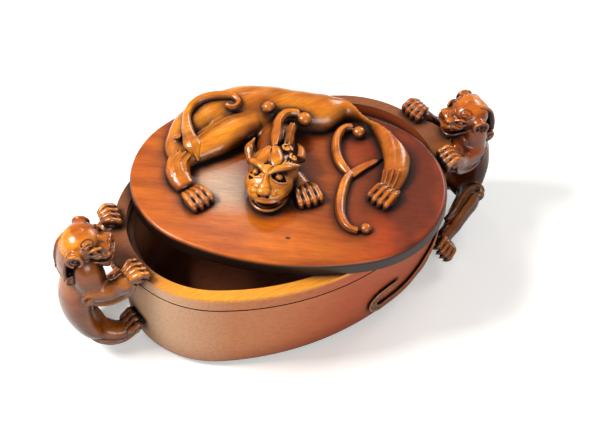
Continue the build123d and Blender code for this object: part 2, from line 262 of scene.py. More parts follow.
def mixed(tree, share, first, second, blend="MIX"):
    """Colour mix of two tones or outputs."""
    mix = tree.nodes.new("ShaderNodeMix")
    mix.data_type = "RGBA"
    mix.blend_type = blend
    for socket, value in ((mix.inputs[0], share), (mix.inputs[6], first), (mix.inputs[7], second)):
        if isinstance(value, bpy.types.NodeSocket):
            tree.links.new(value, socket)
        elif isinstance(value, float):
            socket.default_value = value
        else:
            socket.default_value = (*value, 1)
    return mix.outputs[2]


def noise(tree, vector, scale, detail=4.0, roughness=0.55):
    texture = tree.nodes.new("ShaderNodeTexNoise")
    texture.inputs["Scale"].default_value = scale
    texture.inputs["Detail"].default_value = detail
    texture.inputs["Roughness"].default_value = roughness
    tree.links.new(vector, texture.inputs["Vector"])
    return texture.outputs["Fac"]


def oval_share(tree, place, middle, turn, half_length, half_width):
    """Nought at an oval's middle and one at its edge, in the plane seen from above."""
    flat = tree.nodes.new("ShaderNodeMapping")
    flat.vector_type = "TEXTURE"
    flat.inputs["Location"].default_value = (middle[0] * MM, middle[1] * MM, 0)
    flat.inputs["Rotation"].default_value = (0, 0, turn)
    flat.inputs["Scale"].default_value = (half_length * MM, half_width * MM, 1000.0)
    tree.links.new(place, flat.inputs["Vector"])
    reach = tree.nodes.new("ShaderNodeVectorMath")
    reach.operation = "LENGTH"
    tree.links.new(flat.outputs["Vector"], reach.inputs[0])
    return reach.outputs["Value"]


def split(tree, vector):
    """The three parts of a vector, X, Y and Z."""
    parts = tree.nodes.new("ShaderNodeSeparateXYZ")
    tree.links.new(vector, parts.inputs["Vector"])
    return parts.outputs


def openness(tree, reach, inside=False):
    """One in the open, less in cuts; felt from inside, one in thick wood and less on crests. Reach in mm."""
    feel = tree.nodes.new("ShaderNodeAmbientOcclusion")
    feel.inside = inside
    feel.inputs["Distance"].default_value = reach * MM
    feel.samples = FEELERS
    return feel.outputs["AO"]


def relief(tree, height, strength, depth, under=None):
    """Fine unevenness of the surface, on top of another one where that is given."""
    bump = tree.nodes.new("ShaderNodeBump")
    bump.inputs["Strength"].default_value = strength
    bump.inputs["Distance"].default_value = depth * MM
    tree.links.new(height, bump.inputs["Height"])
    if under:
        tree.links.new(under, bump.inputs["Normal"])
    return bump.outputs["Normal"]


def along_grain(tree, place, turn):
    """Places drawn out along the grain, so that a texture on them runs in streaks."""
    grain_way = tree.nodes.new("ShaderNodeMapping")
    grain_way.inputs["Rotation"].default_value = (0, 0, -turn)
    tree.links.new(place, grain_way.inputs["Vector"])
    drawn = tree.nodes.new("ShaderNodeVectorMath")
    drawn.operation = "MULTIPLY"
    drawn.inputs[1].default_value = (1.0, 9.0, 9.0)
    tree.links.new(grain_way.outputs["Vector"], drawn.inputs[0])
    return drawn.outputs["Vector"]


def worn_and_highlit_crests(tree, tone, polished_and_highlit):
    """Lighten the sharpest crests: partly rubbed wear, partly a painted highlight."""
    lift = tree.nodes.new("ShaderNodeMath")
    lift.operation = "MULTIPLY"
    lift.inputs[1].default_value = CREST_WEAR_AND_HIGHLIGHT
    tree.links.new(ramp(tree, openness(tree, CREST_REACH, inside=True), 0.66, 0.34), lift.inputs[0])
    return mixed(tree, lift.outputs["Value"], tone, polished_and_highlit)


def wood(name, raised, middle, steep, cut, stain_and_shade, gloss, coat, zones, turn=0.0):
    """Oiled carved wood: dark in its cuts (patina and painted shade) and between parts (stain and painted
    shade), lighter on crests (wear and painted highlight) and on upward faces (painted light), streaked along
    the grain.
    """
    mat = bpy.data.materials.new(name)
    mat.use_nodes = True
    tree = mat.node_tree
    shader = tree.nodes["Principled BSDF"]
    place = tree.nodes.new("ShaderNodeTexCoord").outputs["Object"]
    grain = along_grain(tree, place, turn)
    fibre = noise(tree, grain, 150.0, 6.0, 0.7)
    streak = noise(tree, grain, 20.0, 3.0)
    cloud = noise(tree, place, 30.0, 4.0)

    tone = mixed(tree, ramp(tree, cloud, 0.36, 0.64), middle, raised)
    tone = mixed(tree, ramp(tree, streak, 0.42, 0.78), tone, [c * 0.6 for c in middle])
    # Painted light and shade by facing: upward faces keep the lighter tone, faces turned away from up take
    # the steep tone
    facing = split(tree, tree.nodes.new("ShaderNodeNewGeometry").outputs["Normal"])
    tone = mixed(tree, ramp(tree, facing["Z"], -0.10, 0.90), steep, tone)
    # Crests lightened: partly rubbed wear, partly a painted highlight
    tone = worn_and_highlit_crests(tree, tone, [min(1.0, c * 1.15) for c in raised])
    tone = zones(tree, place, tone)
    dark_fibre = mixed(tree, ramp(tree, fibre, 0.44, 0.70), CLEAR, (0.74, 0.66, 0.58))
    tone = mixed(tree, 1.0, tone, dark_fibre, "MULTIPLY")
    # Broad darkening between parts and limbs: partly stain, partly painted shade
    stained_and_shaded = mixed(tree, ramp(tree, openness(tree, STAIN_AND_SHADE_REACH), 0.38, 0.96), stain_and_shade, CLEAR)
    tone = mixed(tree, 1.0, tone, stained_and_shaded, "MULTIPLY")
    # Cuts darkened to the cut tone: partly dark patina, partly painted shade
    bare = ramp(tree, openness(tree, CUT_REACH), 0.50, 0.97)
    tree.links.new(mixed(tree, bare, cut, tone), shader.inputs["Base Color"])

    rough = tree.nodes.new("ShaderNodeMapRange")
    rough.inputs["To Min"].default_value = gloss + ROUGHER_IN_CUTS
    rough.inputs["To Max"].default_value = gloss
    tree.links.new(bare, rough.inputs["Value"])
    tree.links.new(rough.outputs["Result"], shader.inputs["Roughness"])
    shader.inputs["Coat Weight"].default_value = coat
    shader.inputs["Coat Roughness"].default_value = 0.20
    shader.inputs["Specular IOR Level"].default_value = 0.28
    fibre_relief = relief(tree, fibre, 0.22, 0.4)
    tooled = relief(tree, noise(tree, place, 420.0, 3.0), 0.12, 0.6, fibre_relief)
    tree.links.new(tooled, shader.inputs["Normal"])
    return mat


def bowl_zones(tree, place, tone):
    """Wall grey with a painted sheen at the left, brown, and red to the right; painted shade in the hollow;
    rim in painted shade, with a painted highlight on its near side.
    """
    where = split(tree, place)
    # The grey tint brightens the left end of the wall: a painted sheen
    sheen_grey, brown, red = (1.95, 3.3, 4.6), (1.5, 1.4, 1.05), (1.3, 0.62, 0.30)
    past_left_end = ramp(tree, where["X"], -0.074, -0.046)
    to_the_middle = ramp(tree, where["X"], -0.042, 0.004)
    wall = mixed(tree, to_the_middle, mixed(tree, past_left_end, sheen_grey, brown), red)
    tone = mixed(tree, 1.0, tone, wall, "MULTIPLY")
    # Rim: painted shade on its far side, painted highlight on its near side
    shaded_rim, highlit_rim = (0.27, 0.088, 0.032), (0.85, 0.33, 0.025)
    near_side = ramp(tree, where["Y"], -0.006, -0.028)
    on_rim = ramp(tree, where["Z"], 0.0478, 0.0496)
    tone = mixed(tree, on_rim, tone, mixed(tree, near_side, shaded_rim, highlit_rim))
    # Painted shade inside the bowl's hollow
    shaded_hollow_tone = (0.20, 0.058, 0.024)
    hollow = oval_share(tree, place, (0, 0), 0, HOLLOW_HALF_LENGTH, HOLLOW_HALF_WIDTH)
    return mixed(tree, ramp(tree, hollow, 0.975, 1.0), shaded_hollow_tone, tone)


def lid_zones(tree, place, tone):
    """Rubbed patch beside the head painted pale with a glare, dark red at the right end, with a small knot
    and a dark cut side.
    """
    dark_red, bright_red = (0.15, 0.021, 0.004), (0.36, 0.044, 0.004)
    glare_tone, knot_tone, side_tone = (0.66, 0.50, 0.35), (0.045, 0.014, 0.006), (0.022, 0.009, 0.005)
    blotch = ramp(tree, noise(tree, place, 24.0, 3.0, 0.6), 0.42, 0.58)
    rightward = tree.nodes.new("ShaderNodeVectorMath")
    rightward.operation = "DOT_PRODUCT"
    rightward.inputs[1].default_value = (0.87, -0.50, 0.0)
    tree.links.new(place, rightward.inputs[0])
    right_end = ramp(tree, rightward.outputs["Value"], 0.004, 0.044)
    tone = mixed(tree, right_end, tone, mixed(tree, blotch, dark_red, bright_red))
    # Rubbed patch beside the head, painted pale with a glare of light
    rubbed_glare_patch = oval_share(tree, place, (-22, 8), LID_TURN, 25, 17)
    glared = mixed(tree, 0.75, tone, glare_tone)
    tone = mixed(tree, ramp(tree, rubbed_glare_patch, 1.0, 0.35), tone, glared)
    knot = oval_share(tree, place, (-13.9, -29.2), LID_TURN, 1.5, 0.9)
    tone = mixed(tree, ramp(tree, knot, 0.5, 1.0), knot_tone, tone)
    above_side = ramp(tree, split(tree, place)["Z"], 0.0551, 0.0561)
    return mixed(tree, above_side, side_tone, tone)


def beast_zones(tree, place, tone):
    """Painted shade low down, most of all on the right-hand beast, and a painted golden highlight at the top.
    """
    where = split(tree, place)
    # Painted shade low down on both beasts, deepest on the right-hand one
    low_shade, deep_low_shade = (0.74, 0.64, 0.58), (0.32, 0.28, 0.45)
    reddish, golden_highlight = (0.96, 0.80, 0.64), (1.10, 1.18, 1.0)
    left = mixed(tree, ramp(tree, where["Z"], 0.012, 0.034), low_shade, CLEAR)
    right = mixed(tree, ramp(tree, where["Z"], 0.026, 0.050), deep_low_shade, reddish)
    right_beast = ramp(tree, where["X"], 0.066, 0.082)
    tone = mixed(tree, 1.0, tone, mixed(tree, right_beast, left, right), "MULTIPLY")
    # Painted golden highlight on the highest parts of the beasts
    top = mixed(tree, ramp(tree, where["Z"], 0.059, 0.069), CLEAR, golden_highlight)
    return mixed(tree, 1.0, tone, top, "MULTIPLY")


BOWL_WOOD = wood(
    "bowl_wood",
    raised=(0.36, 0.140, 0.062),
    middle=(0.27, 0.095, 0.042),
    steep=(0.31, 0.117, 0.052),
    cut=(0.022, 0.009, 0.005),
    stain_and_shade=(0.55, 0.42, 0.36),
    gloss=0.46,
    coat=0.08,
    zones=bowl_zones,
)
LID_WOOD = wood(
    "lid_wood",
    raised=(0.68, 0.165, 0.006),
    middle=(0.46, 0.080, 0.004),
    steep=(0.20, 0.05, 0.012),
    cut=(0.012, 0.005, 0.003),
    stain_and_shade=(0.13, 0.055, 0.04),
    gloss=0.42,
    coat=0.22,
    zones=lid_zones,
    turn=LID_TURN,
)
BEAST_WOOD = wood(
    "beast_wood",
    raised=(0.88, 0.30, 0.022),
    middle=(0.50, 0.105, 0.009),
    steep=(0.090, 0.017, 0.006),
    cut=(0.006, 0.002, 0.001),
    stain_and_shade=(0.09, 0.045, 0.035),
    gloss=0.24,
    coat=0.6,
    zones=beast_zones,
)


def finish_beast(piece, body, *replaced):
    """Give a carving its wood, set it on its body, and let it stand for the solids that it replaces."""
    piece.data.materials.clear()
    piece.data.materials.append(BEAST_WOOD)
    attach(piece, body)
    if replaced:
        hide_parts(*replaced)


for name, node in nodes.items():
    node.data.materials.clear()
    node.data.materials.append({"bowl": BOWL_WOOD, "lid": LID_WOOD}.get(name, BEAST_WOOD))


# Carving shared by all three beasts

def surface_lines(points, girths, angles, radius, end=1.0, proud=0.25):
    """Fine ridges that run side by side along a limb, over its back, as far as a share of its length."""
    lines = []
    stations = [Vector(p) for p in points]
    last = len(stations) - 1
    for angle in angles:
        lean = math.radians(angle)
        course = []
        for i, point in enumerate(stations):
            if i / last > end:
                continue
            way = (stations[min(i + 1, last)] - stations[max(i - 1, 0)]).normalized()
            side = Vector((0, 0, 1)).cross(way).normalized()
            up = way.cross(side)
            share = i / last * (len(girths) - 1)
            low = min(int(share), len(girths) - 2)
            part = share - low
            width = girths[low][0] * (1 - part) + girths[low + 1][0] * part
            height = girths[low][1] * (1 - part) + girths[low + 1][1] * part
            reach = 1 - (radius - proud) / max(width, height)
            aside = side * width * reach * math.sin(lean)
            course.append(point + aside + up * height * reach * math.cos(lean))
        lines.append(thread(course, radius, 0.6 * radius))
    return lines


def curl(centre, radius, ridge, turns, tilt, start=0.0):
    """Coiled lock of hair: a ridge wound in to a round button, tilted in degrees."""
    tip_x, tip_y, tip_z = [Matrix.Rotation(math.radians(a), 3, axis) for a, axis in zip(tilt, "XYZ")]
    tip = tip_z @ tip_y @ tip_x
    course = []
    steps = int(turns * 8)
    for step in range(steps + 1):
        share = step / steps
        angle = start + 2 * math.pi * turns * share
        reach = radius * (1 - 0.8 * share)
        flat = Vector((reach * math.cos(angle), reach * math.sin(angle), 0.8 * ridge * share))
        course.append(Vector(centre) + tip @ flat)
    coil = limb(course, [(ridge, ridge), (0.8 * ridge, 0.8 * ridge)], False, around=8, run_length=0.6)
    top = Vector(centre) + tip @ Vector((0, 0, 0.6 * ridge))
    return [coil, egg(top, (1.3 * ridge, 1.3 * ridge, 1.1 * ridge))]


def model_paw():
    """Paw that points along X from its wrist: four bent toes that run back over a low palm, and claws."""
    toe_spacing = 2.95
    longest_toe = 6.9
    parts = [limb([(-3.8, 0, 1.6), (-0.8, 0, 2.0), (3.4, 0, 1.3)], [(3.9, 2.4), (5.2, 2.8), (5.3, 1.8)])]
    for place in (-1.5, -0.5, 0.5, 1.5):
        across = place * toe_spacing
        reach = longest_toe - 0.3 * place * place
        toe = limb(
            [
                (-4.8, 0.60 * across, 2.8),
                (-2.2, 0.80 * across, 4.2),
                (0.15 * reach, 0.96 * across, 4.9),
                (0.55 * reach, across, 4.3),
                (0.90 * reach, 1.01 * across, 3.3),
                (reach, 1.01 * across, 1.3),
            ],
            [(1.0, 0.9), (1.34, 1.4), (1.52, 1.8), (1.3, 1.4), (1.5, 1.7), (1.1, 1.1)],
            run_length=0.8,
        )
        claw = limb(
            [(0.94 * reach, across, 2.6), (1.04 * reach, across, 1.9), (1.1 * reach, across, 0.6)],
            [(0.75, 0.6), (0.3, 0.3)],
            run_length=0.6,
        )
        parts += [toe, claw]
    return gather("paw", parts)


def paw_at(paw, place, heading, pitch=0.0, roll=0.0, reach=1.0):
    """A copy of the paw, shortened, rolled, tipped and turned, and set down at a point."""
    copy = copy_of(paw)
    lay(copy, turn=(roll, 0, 0), size=(reach, 1, 1))
    lay(copy, turn=(0, pitch, 0))
    return lay(copy, place, (0, 0, heading))


# The beast on the lid, modelled in the lid's own frame with its top face at height nought

BACK = [
    (-47.2, 0.5, 0),
    (-49, 11.4, 0.3),
    (-45.5, 22.9, 0.5),
    (-36.5, 31, 1),
    (-25.3, 35.6, 1.2),
    (-13.4, 37.4, 1.1),
    (-1.4, 38, 1),
    (10.6, 39.2, 0.8),
    (22, 43.0, 0.4),
    (32.6, 39.8, 1.2),
    (39.6, 30.6, 2.2),
    (44, 19.6, 2.6),
    (45.2, 8, 2.3),
    (43, -3, 0.8),
]
BACK_GIRTH = [
    (4.6, 3.6), (7.4, 5.4), (9.8, 8.6), (11.2, 10.8), (11.8, 12.6), (11.4, 12.4), (10.6, 11.2),
    (10.2, 10.0), (5.0, 7.6), (5.2, 6.4), (6.0, 5.6), (6.0, 4.9), (5.6, 4.4), (4.5, 3.1),
]
ARM = [(-16.4, 27.6, 4.2), (-26.5, 20.9, 4.4), (-34.0, 13.3, 3.8), (-42.2, 5.7, 2.9), (-46.2, -0.2, 2.2)]
ARM_GIRTH = [(6.0, 5.0), (8.4, 6.2), (8.0, 6.0), (6.6, 5.2), (4.6, 4.0)]
FOREARM = [(-45.0, 3.6, 2.8), (-47.0, -2.0, 2.6), (-45.3, -7.8, 2.0), (-40.4, -13.4, 0.8)]
FOREARM_GIRTH = [(4.8, 4.4), (5.6, 4.4), (5.2, 3.9), (4.6, 3.3)]
SHANK = [(45.0, 6.6, 2.2), (44.4, 1.8, 1.6), (43.0, -3.0, 0.8)]
SHANK_GIRTH = [(5.6, 4.4), (5.2, 3.9), (4.5, 3.1)]


def trimmed_to_lid(piece):
    """Cut a piece off flush with the lid's own edge."""
    edge = copy_of(nodes["lid"])
    edge.parent = None
    only(edge)
    bpy.ops.object.mode_set(mode="EDIT")
    bpy.ops.mesh.select_all(action="SELECT")
    bpy.ops.mesh.remove_doubles(threshold=0.00001)
    bpy.ops.object.mode_set(mode="OBJECT")
    lay(edge, place=(-LID_SHIFT, 0, -50))
    lay(edge, place=(0, 0, -5.0), turn=(0, 0, -math.degrees(LID_TURN)), size=(0.998, 0.998, 6))
    trim = piece.modifiers.new("trim", "BOOLEAN")
    trim.operation = "INTERSECT"
    trim.solver = "EXACT"
    trim.object = edge
    apply_all(piece)
    bpy.data.objects.remove(edge)
    return piece


def carve_lid_body(paw):
    """Back, legs and paws of the beast that lies round the lid."""
    wrist = [(1.4, 0, 2.0), (5.4, -4.7, 1.8), (7.8, -7.1, 1.4)]
    masses = [
        limb(BACK, BACK_GIRTH, around=28),
        limb(ARM, ARM_GIRTH, around=20),
        limb(FOREARM, FOREARM_GIRTH, around=16),
        limb(wrist, [(4.8, 4.4), (4.8, 3.6), (4.8, 3.2)], around=16),
        egg((-8, 18, 1.5), (8.5, 13, 6.5)),
        egg((-17, 28, 3.0), (8, 6, 6)),
        egg((-45.0, 6.5, 1.0), (5.4, 7.0, 4.6), (0, 0, 20)),
    ]
    body = trimmed_to_lid(fuse("lid_body_block", masses, 0.7, 7))
    parts = [body]
    parts += surface_lines(FOREARM, FOREARM_GIRTH, (-50, -20, 10, 40), 0.75, end=0.9, proud=0.55)
    parts += surface_lines(SHANK, SHANK_GIRTH, (-60, -34, -8, 18), 0.75, proud=0.55)
    parts += surface_lines(ARM[:4], ARM_GIRTH[:4], (-24, -50), 0.95, proud=0.9)
    parts += curl((-49.0, 12.2, 6.3), 3.0, 0.95, 1.3, tilt=(-12, -24, 0))
    body = fuse("lid_beast_carving", parts, 0.38, 2)
    paws = [
        paw_at(paw, (-37.1, -17.3, -1.2), -42),
        paw_at(paw, (8.8, -8.8, -1.2), -60),
        paw_at(paw, (42.5, -4.7, -1.2), -125),
    ]
    return on_lid(body), on_lid(fuse("lid_beast_paws_carving", paws, 0.24, 1))


def carve_lid_head():
    """Head that faces the near side: heart-shaped plate, dark slanted eyes, open mouth, ears and curls."""
    skull = fuse(
        "head_block",
        [
            egg((-6, -2, 7.0), (10.8, 12.5, 8.4)),
            egg((-6.6, -10.5, 6.8), (10.4, 8.8, 7.8)),
            egg((-6.8, -16.2, 7.6), (8.4, 5.4, 4.2)),
            egg((-6.3, -13.0, 1.4), (8.4, 8.4, 3.2)),
            egg((-5.5, 4, 2.5), (9.6, 9.0, 6.0)),
        ],
        0.45,
        5,
    )
    cut_away(
        skull,
        [
            egg((-12.3, -10.4, 13.6), (4.3, 2.4, 2.9), (20, -24, 40)),
            egg((-1.7, -12.4, 14.0), (4.5, 2.4, 2.9), (20, 20, -22)),
            egg((-6.6, -20.0, 4.9), (7.2, 7.4, 1.9)),
        ],
    )
    heart_plates = [
        egg((-9.5, -2.6, 14.7), (3.3, 6.4, 2.0), (6, -14, -16)),
        egg((-4.6, -2.8, 15.1), (3.3, 6.7, 2.0), (6, 8, 14)),
        limb([(-7.0, -8.0, 15.4), (-7.1, -11.6, 15.0)], [(2.4, 1.4), (1.2, 1.1)]),
    ]
    bridge = [(-7, -11.0, 14.6), (-7.1, -14.4, 13.2), (-7.3, -17.6, 11.4)]
    muzzle = [
        limb(bridge, [(1.1, 1.3), (1.4, 1.5), (2.8, 2.0)]),
        egg((-7.4, -18.8, 10.8), (3.2, 2.4, 2.2)),
        egg((-11.2, -17.4, 9.6), (2.3, 2.2, 1.9)),
        egg((-3.7, -18.0, 9.6), (2.3, 2.2, 1.9)),
    ]
    eyeballs = [egg((-11.9, -10.2, 12.7), (1.7, 1.6, 1.7)), egg((-2.1, -12.2, 13.1), (1.7, 1.6, 1.7))]
    brow_left = [(-7.6, -11.8, 14.4), (-10.2, -8.4, 15.2), (-13.6, -5.4, 14.0), (-16.4, -2.0, 11.2)]
    brow_right = [(-6.2, -12.2, 14.6), (-3.2, -10.0, 15.6), (0.6, -8.0, 15.0), (4.2, -4.8, 12.4)]
    brow_girth = [(0.9, 0.9), (1.7, 1.4), (1.6, 1.4), (0.8, 0.9)]
    brows = [limb(brow_left, brow_girth), limb(brow_right, brow_girth)]
    lid_left = [(-9.4, -13.4, 13.7), (-12.2, -12.8, 12.9), (-15.0, -9.8, 11.3)]
    lid_right = [(-4.8, -14.2, 13.7), (-1.8, -14.8, 12.6), (1.6, -13.0, 11.1)]
    eyelids = [thread(lid_left, 0.55, 0.4), thread(lid_right, 0.55, 0.4)]
    upper_lip = [
        (-15.4, -9, 6.0), (-14.2, -15.0, 6.9), (-10.8, -20.2, 7.4),
        (-6, -21.4, 7.4), (-1.2, -19.4, 7.2), (2.6, -12.6, 6.4),
    ]
    lower_lip = [
        (-14.2, -11, 2.0), (-13.0, -16.8, 2.4), (-9.4, -21.0, 2.6),
        (-5.2, -21.6, 2.6), (-1.2, -18.8, 2.4), (2.0, -12, 2.0),
    ]
    lips = [thread(upper_lip, 0.8), thread(lower_lip, 0.9)]
    ear_left = [(-15.2, -1.5, 8.5), (-17.0, 4.8, 10.5), (-15.8, 10.6, 12.0)]
    ear_right = [(2.4, 12.0, 8.4), (4.6, 6.6, 10.2), (4.8, 1.8, 10.2)]
    ears = [
        limb(ear_left, [(2.2, 2.8), (2.5, 3.6), (0.6, 0.6)]),
        limb(ear_right, [(1.0, 1.2), (1.9, 2.1), (2.4, 2.4)]),
    ]
    parts = [skull] + heart_plates + muzzle + eyeballs + brows + eyelids + lips + ears
    parts += curl((-1.0, 3.0, 15.0), 2.6, 0.7, 1.3, tilt=(-8, 22, 0))
    parts += curl((2.4, -0.8, 13.8), 2.0, 0.6, 1.2, tilt=(-4, 36, 0), start=2.0)
    for i in range(6):
        start = Vector((-1.4 + 1.0 * i, -7.6 + 0.4 * i, 16.0 - 0.42 * i))
        end = start + Vector((1.4 + 0.2 * i, 4.0 - 0.3 * i, -0.5 - 0.25 * i))
        parts += [thread([start, (start + end) / 2 + Vector((0.3, 0, 0.35)), end], 0.45, 0.28)]
    head = fuse("lid_beast_head_carving", parts, 0.26, 1)
    grooves = [
        [(-7.0, 4.4, 15.6), (-7.0, -1.5, 16.9), (-7.0, -6.0, 16.7)],
        [
            (-7.0, 4.4, 15.4), (-10.4, 3.6, 14.6), (-13.2, -1.0, 13.8),
            (-11.4, -6.4, 14.4), (-8.2, -10.6, 14.8),
        ],
        [
            (-7.0, 4.4, 15.4), (-3.8, 4.0, 15.2), (-1.0, -1.0, 15.2),
            (-3.0, -7.0, 15.4), (-6.0, -10.8, 15.0),
        ],
        [(-12.6, -15.6, 10.6), (-12.2, -18.0, 9.4), (-10.6, -20.0, 8.8)],
        [(-1.8, -16.2, 10.8), (-2.6, -18.6, 9.6), (-4.4, -20.4, 9.0)],
    ]
    nostrils = [egg((-9.0, -20.6, 10.0), (0.9, 1.3, 0.8)), egg((-5.7, -20.8, 10.0), (0.9, 1.3, 0.8))]
    cut_away(head, [thread(groove, 0.42, 0.3) for groove in grooves] + nostrils)
    return on_lid(head)


def crested(points, girths, lean=-30):
    """Lock of hair with a crest along its back, a little to one side."""
    return [limb(points, girths, around=14)] + surface_lines(points, girths, (lean,), 0.75, proud=0.45)


def carve_lid_tail():
    """Tail that forks from a stem, each branch hooked round a bead."""
    lower = [
        (26.6, 6.2, 0.4), (24.6, 0.6, 0.8), (23.8, -6, 0.8), (23.8, -13, 0.6),
        (25.6, -20.4, 0.6), (29.4, -25.2, 0.6), (33.2, -26.2, 0.6),
    ]
    upper = [
        (26.4, 4.6, 0.2), (22.4, 8.8, 0.8), (19.6, 14, 1.0), (18.0, 20.5, 1.2),
        (18.3, 27.2, 1.6), (20.8, 31.6, 2.0), (24.2, 32.4, 2.0),
    ]
    parts = crested(lower, [(1.9, 2.2), (2.3, 2.7), (2.4, 2.7), (2.1, 2.5), (1.7, 2.2)])
    parts += crested(upper, [(1.7, 2.0), (2.3, 2.6), (2.3, 2.7), (2.2, 2.5), (1.8, 2.2)])
    stem = [(26.4, 5.0, 0.4), (31.4, 10.2, 0.8), (36.2, 14.8, 0.4), (40.4, 18.8, -0.6)]
    parts += [limb(stem, [(2.3, 1.6), (1.9, 1.6), (1.4, 1.3), (0.5, 0.5)])]
    parts += surface_lines(stem[:3], [(2.3, 1.6), (1.4, 1.3)], (-50, 50), 0.6, proud=0.5)
    parts += [egg((27.0, 29.8, 2.0), (3.0, 3.0, 2.9)), egg((35.9, -24.4, 0.7), (2.6, 2.6, 2.5))]
    return on_lid(fuse("lid_beast_tail_carving", parts, 0.3, 2))


def carve_lid_mane():
    """Two locks over the neck, the longer one hooked round a bead."""
    lock = [
        (-6.2, 3, 15.4), (-6.5, 9, 13.6), (-7.1, 17, 11.4),
        (-7.2, 23.6, 10.6), (-4.4, 28.8, 10.2), (0.5, 30.2, 9.4),
    ]
    beside = [(-1.0, 4, 13.4), (-1.8, 12, 9.8), (-2.2, 19, 7.8), (-1.4, 25, 7.0)]
    girth = [(1.4, 1.2), (2.7, 2.7), (2.3, 2.7), (2.2, 2.6), (2.0, 2.4)]
    parts = crested(lock, girth) + [limb(beside, [(1.4, 1.4), (2.8, 2.6), (2.2, 2.2)])]
    parts += [egg((-4.4, 16.0, 6.5), (5.0, 9.5, 4.2))]
    parts += surface_lines(beside, [(2.6, 2.6), (2.8, 2.6), (2.4, 2.4)], (-20, 24), 0.55)
    parts += [egg((3.1, 28.1, 8.4), (3.4, 3.4, 3.2))]
    return on_lid(fuse("lid_beast_mane_carving", parts, 0.3, 2))


def carve_lid_flame():
    """Lock that rises from the left foreleg and hooks back along the shoulder."""
    flame = [
        (-38.6, 0.6, 4.2), (-41.4, 5.6, 6.8), (-44.3, 11.0, 7.6), (-46.8, 17.6, 8.2),
        (-47.3, 24.4, 9.4), (-44.4, 29.4, 10.8), (-39.4, 31.9, 12.2), (-33, 32.8, 12.9),
        (-27.6, 31.8, 13.0), (-26.0, 28.6, 12.6), (-28.8, 26.8, 12.4), (-31.4, 28.0, 12.8),
    ]
    girth = [
        (0.8, 0.8), (4.2, 2.6), (2.9, 3.0), (2.1, 2.8), (1.9, 2.7),
        (1.8, 2.5), (1.7, 2.3), (1.5, 2.0), (1.3, 1.6),
    ]
    return on_lid(fuse("lid_beast_flame_carving", crested(flame, girth, 20), 0.3, 2))


def carve_lid_button():
    """Round button on the back, between the flame lock and the mane."""
    return on_lid(fuse("lid_beast_button_carving", [egg((-12.9, 29.4, 12.2), (3.0, 3.0, 2.8))], 0.3, 1))


# The handle beasts, modelled as the left one: outward from the bowl's end, across its middle, and up

def at(out, across, up):
    """Point given outward from the bowl's end, across from the beast's middle, and up."""
    return (-(BOWL_END + out), BEAST_ASIDE + across, up)


def at_each(*places):
    return [at(*place) for place in places]


TRUNK = at_each(
    (13.5, 0, 60), (15.6, 0, 52), (18.8, 0, 43), (21.8, 0, 33), (21.4, 0, 22), (17.8, 0, 13.6), (11.5, 0, 10),
)
TRUNK_GIRTH = [(6.5, 7.6), (6.9, 8.6), (7.1, 9.6), (6.8, 10.0), (6.3, 10.6), (5.6, 11.0), (4.5, 10.5)]


def foreleg_course(side):
    """Line of a foreleg from the elbow to the rim, the ridge along its lower edge, and its paw's place."""
    spread = PAW_SPREAD * side
    rim_in = RIM_END_RADIUS - math.sqrt(RIM_END_RADIUS**2 - (BEAST_ASIDE + spread) ** 2)
    wrist = WRIST_OUT - rim_in
    course = at_each(
        (16.5, 0.46 * spread, 42.0),
        (12.4, 0.62 * spread, 41.4),
        (7.5 - rim_in / 2, 0.80 * spread, 43.6),
        (wrist + 1.5, 0.91 * spread, 47.6),
        (wrist - 1.6, 0.98 * spread, 51.0),
    )
    ridge = at_each(
        (19.6, 0.50 * spread, 39.6),
        (17.0, 0.64 * spread, 37.6),
        (12.6, 0.79 * spread, 37.6),
        (7.6 - rim_in / 2, 0.95 * spread, 40.4),
        (wrist + 1.8, 1.10 * spread, 45.2),
        (wrist + 0.4, 1.16 * spread, 50.0),
    )
    return course, ridge, at(wrist, spread, 50)


